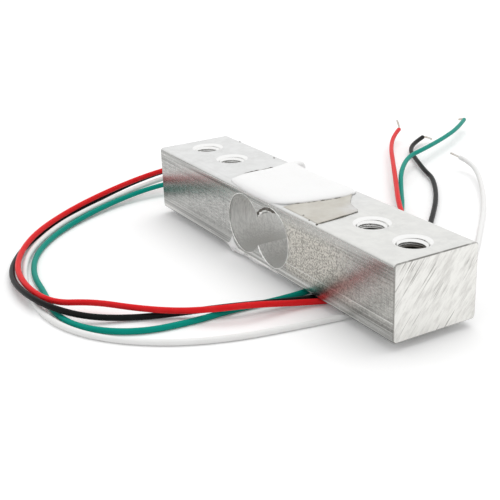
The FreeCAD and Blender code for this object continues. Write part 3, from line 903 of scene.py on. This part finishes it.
sideSeal = {
    "height": 1.9 * mm, "round": 1.6 * mm, "lumps": 0.14 * mm, "lumpScale": 330.0,
    "outline": [
        (-20.3, 5.2), (-20.0, 3.0), (-18.6, 2.2), (-14, 1.95), (-11.2, 2.1), (-10.1, 3.2), (-10.15, 7.5),
        (-10.05, 12.0), (-11.3, 13.3), (-14, 13.45), (-18.8, 13.2), (-20.1, 12.2), (-20.4, 9.0),
    ],
}
strapSpec = {
    "low": -12.5 * mm, "high": -10.2 * mm, "across": 16,
    "outer": [(6.0, 0.55), (6.9, 0.70), (7.8, 0.74), (8.6, 0.66), (9.2, 0.36), (9.55, -0.3), (9.65, -1.2),
              (9.5, -2.4)],
    "inner": [(6.0, 0.0), (6.9, 0.0), (7.2, -0.03), (7.5, -0.16), (7.75, -0.4), (7.93, -0.8), (7.95, -1.2),
              (7.95, -2.4)],
}


def strap(turnedOver):  # sealant over the fine wires where they cross a long edge
    spec = strapSpec
    points = []
    for (outerY, outerZ), (innerY, innerZ) in zip(spec["outer"], spec["inner"]):
        for step in range(spec["across"] + 1):
            share = step / spec["across"]
            swell = math.sqrt(1 - abs(2 * share - 1) ** 3)
            y = (innerY + (outerY - innerY) * swell) * mm
            z = (innerZ + (outerZ - innerZ) * swell) * mm
            x = spec["low"] + (spec["high"] - spec["low"]) * share
            points.append(Vector((x, y, barLow.z - z if turnedOver else barHigh.z + z)))
    return points, gridFaces(len(spec["outer"]), spec["across"] + 1)


newPiece("sideSeal", joined("sideSeal", mound(sideSeal, onBackFace), strap(False), strap(True)), "sealant",
         "side_sealant")
print("sealant made")


# Film under the sealant's edge, lifted a little along its free edges
filmSpec = {
    "thick": 0.07 * mm, "clear": 0.01 * mm, "inner": 7.6, "front": -7.35, "rows": 36, "columns": 20,
    "tuck": 1.3, "tuckLeast": 0.1,  # pressed down along the front
    "lift": 0.16 * mm, "liftPower": 6, "liftMean": 0.5, "noiseScale": 0.35, "noiseSlice": 7,
    "cornerLift": 0.044 * mm, "cornerPower": 3, "cornerFrom": 1.5,  # more lift at the torn back corner
    "freeEdge": [(-7.35, 17.9), (-4, 17.65), (-1.3, 17.35), (1.5, 16.9), (1.9, 15.4), (2.3, 13.6),
                 (3.0, 12.4), (3.9, 11.4), (4.6, 10.5), (5.6, 9.4)],
}


def freeEdgeAt(y):
    line = filmSpec["freeEdge"]
    for (yLow, xLow), (yHigh, xHigh) in zip(line, line[1:]):
        if y <= yHigh:
            return xLow + (xHigh - xLow) * (y - yLow) / (yHigh - yLow)
    return line[-1][1]


def filmPiece():
    spec = filmSpec
    back = spec["freeEdge"][-1][0]
    points = []
    for side in (1, 0):
        for row in range(spec["rows"] + 1):
            y = spec["front"] + (back - spec["front"]) * row / spec["rows"]
            edge = freeEdgeAt(y)
            tuck = min(1.0, spec["tuckLeast"] + (y - spec["front"]) / spec["tuck"])
            for column in range(spec["columns"] + 1):
                share = column / spec["columns"]
                x = spec["inner"] + (edge - spec["inner"]) * share
                waveAt = Vector((x, y, spec["noiseSlice"])) * spec["noiseScale"]
                wave = spec["liftMean"] + noise.noise(waveAt)
                curl = spec["lift"] * share ** spec["liftPower"] * wave
                curl += spec["cornerLift"] * share ** spec["cornerPower"] * max(0.0, y - spec["cornerFrom"])
                rise = (max(curl, 0.0) + spec["thick"] * side) * tuck
                points.append(onTopFace(x * mm, y * mm, rise + spec["clear"]))
    columns = spec["columns"] + 1
    rows = spec["rows"] + 1
    top = gridFaces(rows, columns)
    shift = rows * columns
    under = [tuple(shift + i for i in reversed(face)) for face in top]
    rim = [columns * r + columns - 1 for r in range(rows)]
    rim += [columns * (rows - 1) + c for c in reversed(range(columns - 1))]
    rim += [columns * r for r in reversed(range(rows - 1))] + list(range(1, columns - 1))
    wall = [(a, a + shift, b + shift, b) for a, b in zip(rim, rim[1:] + rim[:1])]
    newPiece("coverFilm", joined("coverFilm", (points, top + under + wall)), "film", "cover_film")


filmPiece()
print("film made")


# Beads: burrs, lips, residue and painted shadow along an edge
beadSpec = {"sides": 7, "taper": 8, "least": 0.15, "noiseScale": 1.9 / mm}


def bead(line, radius, uneven, out):  # round bead that thins out at both ends
    sides, least = beadSpec["sides"], beadSpec["least"]
    points = []
    count = len(line)
    for index, spot in enumerate(line):
        ahead = line[min(index + 1, count - 1)]
        behind = line[max(index - 1, 0)]
        across = (ahead - behind).normalized().cross(out).normalized()
        share = index / (count - 1)
        thin = min(1.0, beadSpec["taper"] * min(share, 1 - share) + least)
        size = radius * thin * max(least, 1 + uneven * noise.noise(spot * beadSpec["noiseScale"]))
        for side in range(sides):
            turn = 2 * math.pi * side / sides
            points.append(spot + (across * math.cos(turn) + out * math.sin(turn)) * size)
    return points, cappedTube(count, sides)


# Burrs round the cut-out: a thin bright lip on both faces, and a curl of chip and a fold at the front, with
# a dark bead under the curl as painted shade
rimSpec = {"radius": 0.085 * mm, "uneven": 0.9, "inset": -0.06 * mm, "lift": 0.01 * mm, "steps": 90}
chipSpec = {
    "chipCurl": {"radius": 0.184 * mm, "uneven": 1.5, "inset": 0.62 * mm, "lift": 0.12 * mm, "steps": 40,
                 "angles": (76, 146), "finish": tornEdge},
    "burrFold": {"radius": 0.15 * mm, "uneven": 1.6, "inset": 0.04 * mm, "lift": 0.0, "steps": 44,
                 "angles": (-149, -84), "finish": tornEdge},
    # dark bead of painted shade under the curl of chip
    "chipShade": {"radius": 0.256 * mm, "uneven": 1.2, "inset": 0.26 * mm, "lift": 0.02 * mm, "steps": 40,
                  "angles": (72, 149), "finish": residueAndPaintedShade},
}


def lobeBead(spec, lobe, face, start, end):  # bead along one lobe, angles counted from its outer side
    radius = barSpec["lobeRadius"] - spec["inset"]
    line = []
    for step in range(spec["steps"] + 1):
        angle = start + (end - start) * step / spec["steps"]
        x = lobe * (barSpec["lobeSpacing"] / 2 + radius * math.cos(angle))
        line.append(Vector((x, face * (barHigh.y + spec["lift"]), barMid.z + radius * math.sin(angle))))
    return bead(line, spec["radius"], spec["uneven"], Vector((0, face, 0)))


crossing = math.pi - math.acos(barSpec["lobeSpacing"] / 2 / barSpec["lobeRadius"])
for name, face in (("rimBurrFront", -1), ("rimBurrBack", 1)):
    beads = [lobeBead(rimSpec, lobe, face, -crossing, crossing) for lobe in (-1, 1)]
    newPiece(name, joined(name, *beads), "bar_metal", finish=tornEdge)
for name, spec in chipSpec.items():
    shell = lobeBead(spec, 1, -1, *(math.radians(angle) for angle in spec["angles"]))
    newPiece(name, joined(name, shell), "bar_metal", finish=spec["finish"])

# Lip of torn metal along the thin lower wall
lipSpec = {
    "radius": 0.16 * mm, "uneven": 0.9, "steps": 10, "out": Vector((0, -0.8, -0.6)),
    "line": [(-12.6, 1.75), (-10.6, 1.5), (-8, 1.62), (-5, 1.6), (-2, 1.72), (1, 1.75), (4, 1.66),
             (6.6, 1.62)],
}


def lowerLip():
    spec = lipSpec
    line = smoothLine([onFrontFace(x * mm, z * mm, 0.0) for x, z in spec["line"]], spec["steps"])
    shell = bead(line, spec["radius"], spec["uneven"], spec["out"])
    newPiece("lowerLip", joined("lowerLip", shell), "bar_metal", finish=tornEdge)


# Faceted chip of sealant on the front lower edge, with two peaks and a ridge between them
shardSpec = {
    "rim": [(-11.4, 1.7, 0.0), (-10.7, 0.85, 0.1), (-9.8, 0.4, 0.3), (-8.8, 0.8, 0.25), (-6.8, 1.6, 0.05),
            (-7.5, 2.25, 0.05), (-8.4, 2.8, 0.05), (-9.25, 3.8, 0.0), (-9.7, 2.75, 0.15),
            (-10.3, 2.15, 0.1)],
    "peaks": [(-9.7, 1.5, 0.45), (-8.7, 2.0, 0.4)],
    "secondFrom": 3, "secondTo": 7,  # rim points between which the facets meet at the second peak
}


def edgeShard():
    spec = shardSpec
    points = [onFrontFace(x * mm, z * mm, rise * mm) for x, z, rise in spec["rim"] + spec["peaks"]]
    count = len(spec["rim"])
    first, second = count, count + 1
    faces = []
    for step in range(count):
        peak = second if spec["secondFrom"] <= step < spec["secondTo"] else first
        faces.append((step, (step + 1) % count, peak))
    faces += [(spec["secondFrom"], second, first), (spec["secondTo"], first, second)]
    faces.append(tuple(reversed(range(count))))
    mesh = joined("edgeShard", (points, faces))
    mesh.shade_flat()
    newPiece("edgeShard", mesh, "sealant")


lowerLip()
edgeShard()

# Dark lines along the film's edges and painted shadow along the sealant's edges, and loose specks of dirt
shadeAndResidueLines = {
    "filmEdge": {"radius": 0.02, "uneven": 1.2, "lift": 0.02,
                 "line": [(17.95, -6.8), (17.72, -4), (17.43, -1.3), (17.0, 1.4)]},
    "filmTear": {"radius": 0.035, "uneven": 1.2, "lift": 0.03,
                 "line": [(13.4, 2.2), (12.6, 2.75), (11.7, 3.6)]},
    # painted shadow along the sealant's edge over the film
    "sealantOverFilm": {"radius": 0.06, "uneven": 2.8, "lift": 0.06,
                        "line": [(6.9, -6.2), (7.85, -4.6), (8.75, -1.7), (9.4, 1.6), (9.6, 3.6)]},
    # painted shadow along the sealant's left edge
    "sealantBack": {"radius": 0.08, "uneven": 1.2, "lift": 0.02,
                    "line": [(-12.65, -3), (-12.6, -1), (-12.5, 1.6), (-12.7, 3.4)]},
}
darkLineSteps = 14
speckSpec = {
    "height": 0.1 * mm, "round": 0.2 * mm, "lumps": 0.0, "lumpScale": 1.0, "corners": 7, "uneven": 0.5,
    "places": [(13.15, -6.9, 0.20), (15.55, -7.4, 0.18), (17.9, -7.5, 0.22), (-17.8, 6.8, 0.20),
               (-32.2, 7.5, 0.18)],  # x, y and radius in mm
}


def speckOutline(x, y, radius):
    outline = []
    for step in range(speckSpec["corners"]):
        turn = 2 * math.pi * step / speckSpec["corners"]
        reach = radius * (1 + speckSpec["uneven"] * noise.noise(Vector((x, y, step))))
        outline.append((x + reach * math.cos(turn), y + reach * math.sin(turn)))
    return outline


for name, run in shadeAndResidueLines.items():
    line = smoothLine([onTopFace(x * mm, y * mm, run["lift"] * mm) for x, y in run["line"]], darkLineSteps)
    shell = bead(line, run["radius"] * mm, run["uneven"], up)
    newPiece(name, joined(name, shell), "film", finish=residueAndPaintedShade)
specks = [mound({**speckSpec, "outline": speckOutline(*place)}, onTopFace) for place in speckSpec["places"]]
newPiece("specks", joined("specks", *specks), "bar_metal", finish=residueAndPaintedShade)
print("burrs, lip and residue made")


# Leads: points given in mm, close to the routes of the solids
leadSpec = {
    "radius": 0.525 * mm, "roundSteps": 5, "lengthSteps": 8, "exitX": -20.0, "exitY": 8.655,
    "lengths": {"red": 0.268, "white": 0.256, "green": 0.270, "black": 0.268},
}
leadRoutes = {
    "red": [
        (-17.5, 8.655, 11.1), (-25, 8.8, 10.9), (-33.5, 9.9, 9.8), (-42.5, 9.2, 7.9), (-49.4, 3.6, 5.9),
        (-52, -5.6, 4.2), (-49.8, -17, 2.8), (-44.2, -27.8, 2.2), (-35.3, -37.9, 2.1), (-24.4, -44.5, 1.9),
        (-13.8, -46.5, 1.9), (-4, -45.2, 1.9), (-0.5, -39.2, 1.9), (5.7, -34.4, 1.85), (10.7, -29.4, 1.9),
        (14.5, -24.8, 2.5), (17, -19.4, 2.8), (17, -11.6, 1.0), (19.4, -4.2, 0.53), (21, 5.4, 0.57),
        (16.8, 14.2, 0.95), (9.2, 20.8, 1.8), (-0.6, 25.6, 2.0), (-9.7, 31.3, 2.2), (-19.6, 38.6, 2.5),
        (-30.6, 46.6, 2.6), (-42, 54.9, 2.5), (-49.2, 61.6, 2.8), (-52.2, 65.6, 3.0),
    ],
    "white": [
        (-17.5, 8.655, 8.8), (-25, 8.7, 8.5), (-33.5, 9.3, 7.4), (-41.5, 8.6, 5.9), (-48.2, 3.8, 4.6),
        (-51.2, -4, 2.75), (-49.5, -13, 1.9), (-45.5, -22.4, 1.45), (-39.9, -31.3, 1.25),
        (-31, -39.9, 0.9), (-21, -44.3, 0.6), (-10.6, -46.4, 0.53), (-2, -46.9, 0.53), (5.8, -44.9, 0.53),
        (12.4, -40.4, 0.53), (18, -33.6, 0.53), (21.6, -25.4, 0.53), (23.6, -15.6, 0.53), (25.4, -5, 0.55),
        (26.6, 5.5, 0.55), (24.6, 15.5, 0.55), (18.6, 26, 0.55), (10.5, 34.7, 0.6), (1.4, 44.4, 0.9),
        (-7.3, 52.2, 1.3), (-16.4, 59.1, 2.0), (-21.8, 61.2, 2.6), (-24.2, 60.9, 3.0),
    ],
    "green": [
        (-17.5, 8.655, 6.5), (-25, 8.8, 6.2), (-33.5, 9.6, 5.2), (-41.4, 8.6, 4.0), (-47, 3.4, 3.1),
        (-49.3, -4.6, 2.2), (-48.2, -13.2, 1.4), (-44.1, -22.8, 0.9), (-38.2, -31.7, 0.6),
        (-30, -38.9, 0.53), (-20.5, -42.7, 0.53), (-11.5, -43.7, 0.53), (-2, -45.4, 0.53),
        (5.8, -43.2, 0.53), (11.6, -36.6, 0.53), (12.9, -27.7, 0.53), (12.6, -20.2, 0.53),
        (13.7, -12.5, 0.53), (13.4, -3, 0.55), (10.8, 6.5, 0.55), (6, 15.5, 0.55), (-1, 24, 0.55),
        (-9.8, 32.6, 0.6), (-18.4, 39, 1.3), (-25, 44.3, 2.6), (-31.6, 51.7, 3.1), (-34, 58.5, 3.2),
        (-38.9, 68.6, 3.0), (-44.3, 78.4, 3.0), (-49.6, 85.2, 3.0),
    ],
    "black": [
        (-17.5, 8.655, 4.2), (-25, 9.0, 4.1), (-34, 10.4, 3.7), (-43.8, 10.2, 3.6), (-51.9, 4.6, 4.9),
        (-54.2, -4.8, 3.1), (-50.5, -17.2, 1.7), (-44.2, -28.1, 1.15), (-37, -37.4, 0.8),
        (-27.6, -44.2, 0.7), (-18.2, -47.2, 1.3), (-9.4, -47.4, 1.85), (-2, -45.8, 1.95),
        (3.2, -41.7, 1.25), (5.9, -36, 0.6), (8.4, -30.1, 0.6), (11.6, -25.4, 1.45), (14.3, -20.7, 1.95),
        (15.4, -15.4, 1.5), (16.2, -9.1, 0.7), (17.2, -1.6, 0.55), (15, 8, 0.55), (11.8, 16.8, 0.53),
        (6.6, 24.6, 0.53), (-0.8, 32.6, 0.65), (-10.6, 42.4, 0.8), (-20.6, 50, 0.9), (-25.4, 51.8, 1.0),
        (-34.9, 56.6, 1.1), (-40.3, 59.5, 1.2), (-44.2, 63.9, 1.5), (-46.2, 68.4, 1.8),
    ],
}


def leadPiece(name):
    spec = leadSpec
    curve = bpy.data.curves.new("lead_" + name, "CURVE")
    curve.dimensions = "3D"
    curve.bevel_depth = spec["radius"]
    curve.bevel_resolution = spec["roundSteps"]
    curve.use_fill_caps = True
    spline = curve.splines.new("NURBS")
    route = leadRoutes[name]
    spline.points.add(len(route) - 1)
    for point, place in zip(spline.points, route):
        point.co = (*(v * mm for v in place), 1.0)
    spline.order_u = 3
    spline.use_endpoint_u = True
    spline.resolution_u = spec["lengthSteps"]
    return newPiece("jacket_" + name, curve, "jacket_" + name, "lead_" + name)


# Bare ends: tinned strands twisted together
strandSpec = {
    "radius": 0.235 * mm, "length": 2.6, "overlap": 0.3, "rings": 26, "steps": 42,
    "flutes": 7, "fluteDepth": 0.14, "fluteMiddle": 0.7, "twist": 5.5, "taperFrom": 0.93, "taperBy": 0.5,
    "lean": {"red": (1.3, 1.7), "white": (0.4, 0.2), "green": (1.9, -0.7), "black": (-1.4, -1.2)},
}


def strandPiece(name):
    spec = strandSpec
    before, tip = (Vector(p) for p in leadRoutes[name][-2:])
    along = (tip - before).normalized()
    sideways = Vector((-along.y, along.x, 0)).normalized()
    lean, rise = spec["lean"][name]
    start = tip - along * spec["overlap"]
    elbow = tip + along * (spec["length"] / 2)
    end = elbow + along * (spec["length"] / 2) + sideways * lean + up * rise
    points = []
    for ring in range(spec["rings"] + 1):
        t = ring / spec["rings"]
        spot = start * (1 - t) ** 2 + elbow * 2 * t * (1 - t) + end * t ** 2
        heading = ((elbow - start) * (1 - t) + (end - elbow) * t).normalized()
        aside = heading.cross(up).normalized()
        above = aside.cross(heading)
        past = max(0.0, t - spec["taperFrom"]) / (1 - spec["taperFrom"])
        taper = 1.0 - spec["taperBy"] * past ** 2
        for step in range(spec["steps"]):
            turn = 2 * math.pi * step / spec["steps"]
            ridge = abs(math.cos(spec["flutes"] / 2 * (turn + spec["twist"] * t)))
            radius = spec["radius"] * taper * (1 + spec["fluteDepth"] * (ridge - spec["fluteMiddle"]))
            points.append(spot * mm + (aside * math.cos(turn) + above * math.sin(turn)) * radius)
    shell = (points, cappedTube(spec["rings"] + 1, spec["steps"]))
    return newPiece("strands_" + name, joined("strands", shell), "tinned_copper", "tinned_end_" + name)


for name, route in leadRoutes.items():
    lead = leadPiece(name)
    strands = strandPiece(name)
print("leads and bare ends:", len(leadRoutes))


# Camera at the photograph's viewing angle
cameraSpec = {
    "place": Vector((138.27, -89.28, 67.765)) * mm,
    "azimuth": math.radians(60.05),
    "elevation": math.radians(21.69),
    "roll": math.radians(-2.06),
    "lens": 70.26,
    "sensor": 36,
    "clipStart": 5 * mm,
}


def addCamera():
    spec = cameraSpec
    flat = math.cos(spec["elevation"])
    forward = Vector((-math.sin(spec["azimuth"]) * flat, math.cos(spec["azimuth"]) * flat,
                      -math.sin(spec["elevation"])))
    levelRight = forward.cross(up).normalized()
    levelUp = levelRight.cross(forward)
    right = levelRight * math.cos(spec["roll"]) + levelUp * math.sin(spec["roll"])
    data = bpy.data.cameras.new("camera")
    data.lens = spec["lens"]
    data.sensor_width = spec["sensor"]
    data.clip_start = spec["clipStart"]
    camera = bpy.data.objects.new("camera", data)
    turn = Matrix((right, right.cross(forward), -forward)).transposed()
    camera.matrix_world = Matrix.Translation(spec["place"]) @ turn.to_4x4()
    bpy.context.scene.collection.objects.link(camera)
    bpy.context.scene.camera = camera


# White surface and soft light
stageSpec = {
    "floorSize": 6.0, "floorColor": (0.84, 0.84, 0.84), "floorSeen": (1.0, 1.0, 1.0), "floorLift": 0.08,
    "floorTint": 0.05, "worldLight": 0.74,
    "lampSpread": math.radians(50), "lampPower": 0.98, "lampFrom": Vector((-0.3, 0.6, 1.8)),
}


def seenDirectly(tree):  # 1 for rays from the camera and for mirror and see-through rays
    rays = addNode(tree, "ShaderNodeLightPath").outputs
    beforeDiffuse = mathNode(tree, "LESS_THAN", rays["Diffuse Depth"], 0.5)
    mirrored = times(tree, rays["Is Glossy Ray"], beforeDiffuse)
    return most(tree, rays["Is Camera Ray"], mirrored, rays["Is Transmission Ray"])


def addFloor():
    spec = stageSpec
    half = spec["floorSize"] / 2
    mesh = bpy.data.meshes.new("floor")
    corners = [(-half, -half, 0), (half, -half, 0), (half, half, 0), (-half, half, 0)]
    mesh.from_pydata(corners, [], [(0, 1, 2, 3)])
    floor = bpy.data.objects.new("floor", mesh)
    bpy.context.scene.collection.objects.link(floor)
    material, tree, sockets = newMaterial("paleFloor", Roughness=0.9, Emission_Strength=1.0)
    cloud = useGroup(tree, fineGrain, Coords=objectCoords(tree), Size=60.0)["Cloud"]
    plain = mixColor(tree, times(tree, cloud, spec["floorTint"]), spec["floorColor"], (1, 1, 1))
    seen = seenDirectly(tree)
    feed(tree, mixColor(tree, seen, plain, spec["floorSeen"]), sockets["Base Color"])
    feed(tree, mixColor(tree, seen, (0, 0, 0), (spec["floorLift"],) * 3), sockets["Emission Color"])
    mesh.materials.append(material)


def addLight():
    spec = stageSpec
    world = bpy.data.worlds.new("studio")
    world.use_nodes = True
    tree = world.node_tree
    background = tree.nodes["Background"]
    background.inputs["Color"].default_value = (1, 1, 1, 1)
    feed(tree, mapRange(tree, seenDirectly(tree), 0.0, 1.0, spec["worldLight"], 1.0, smooth=False),
         background.inputs["Strength"])
    bpy.context.scene.world = world

    lampData = bpy.data.lights.new("softLamp", "SUN")
    lampData.angle = spec["lampSpread"]
    lampData.energy = spec["lampPower"]
    lamp = bpy.data.objects.new("softLamp", lampData)
    lamp.visible_glossy = False  # metal mirrors the white surroundings alone
    lamp.location = spec["lampFrom"]
    lamp.rotation_euler = (-spec["lampFrom"]).to_track_quat("-Z", "Y").to_euler()
    bpy.context.scene.collection.objects.link(lamp)


addCamera()
addFloor()
addLight()
bpy.context.scene.view_settings.view_transform = "Standard"
print("camera, floor and light set")
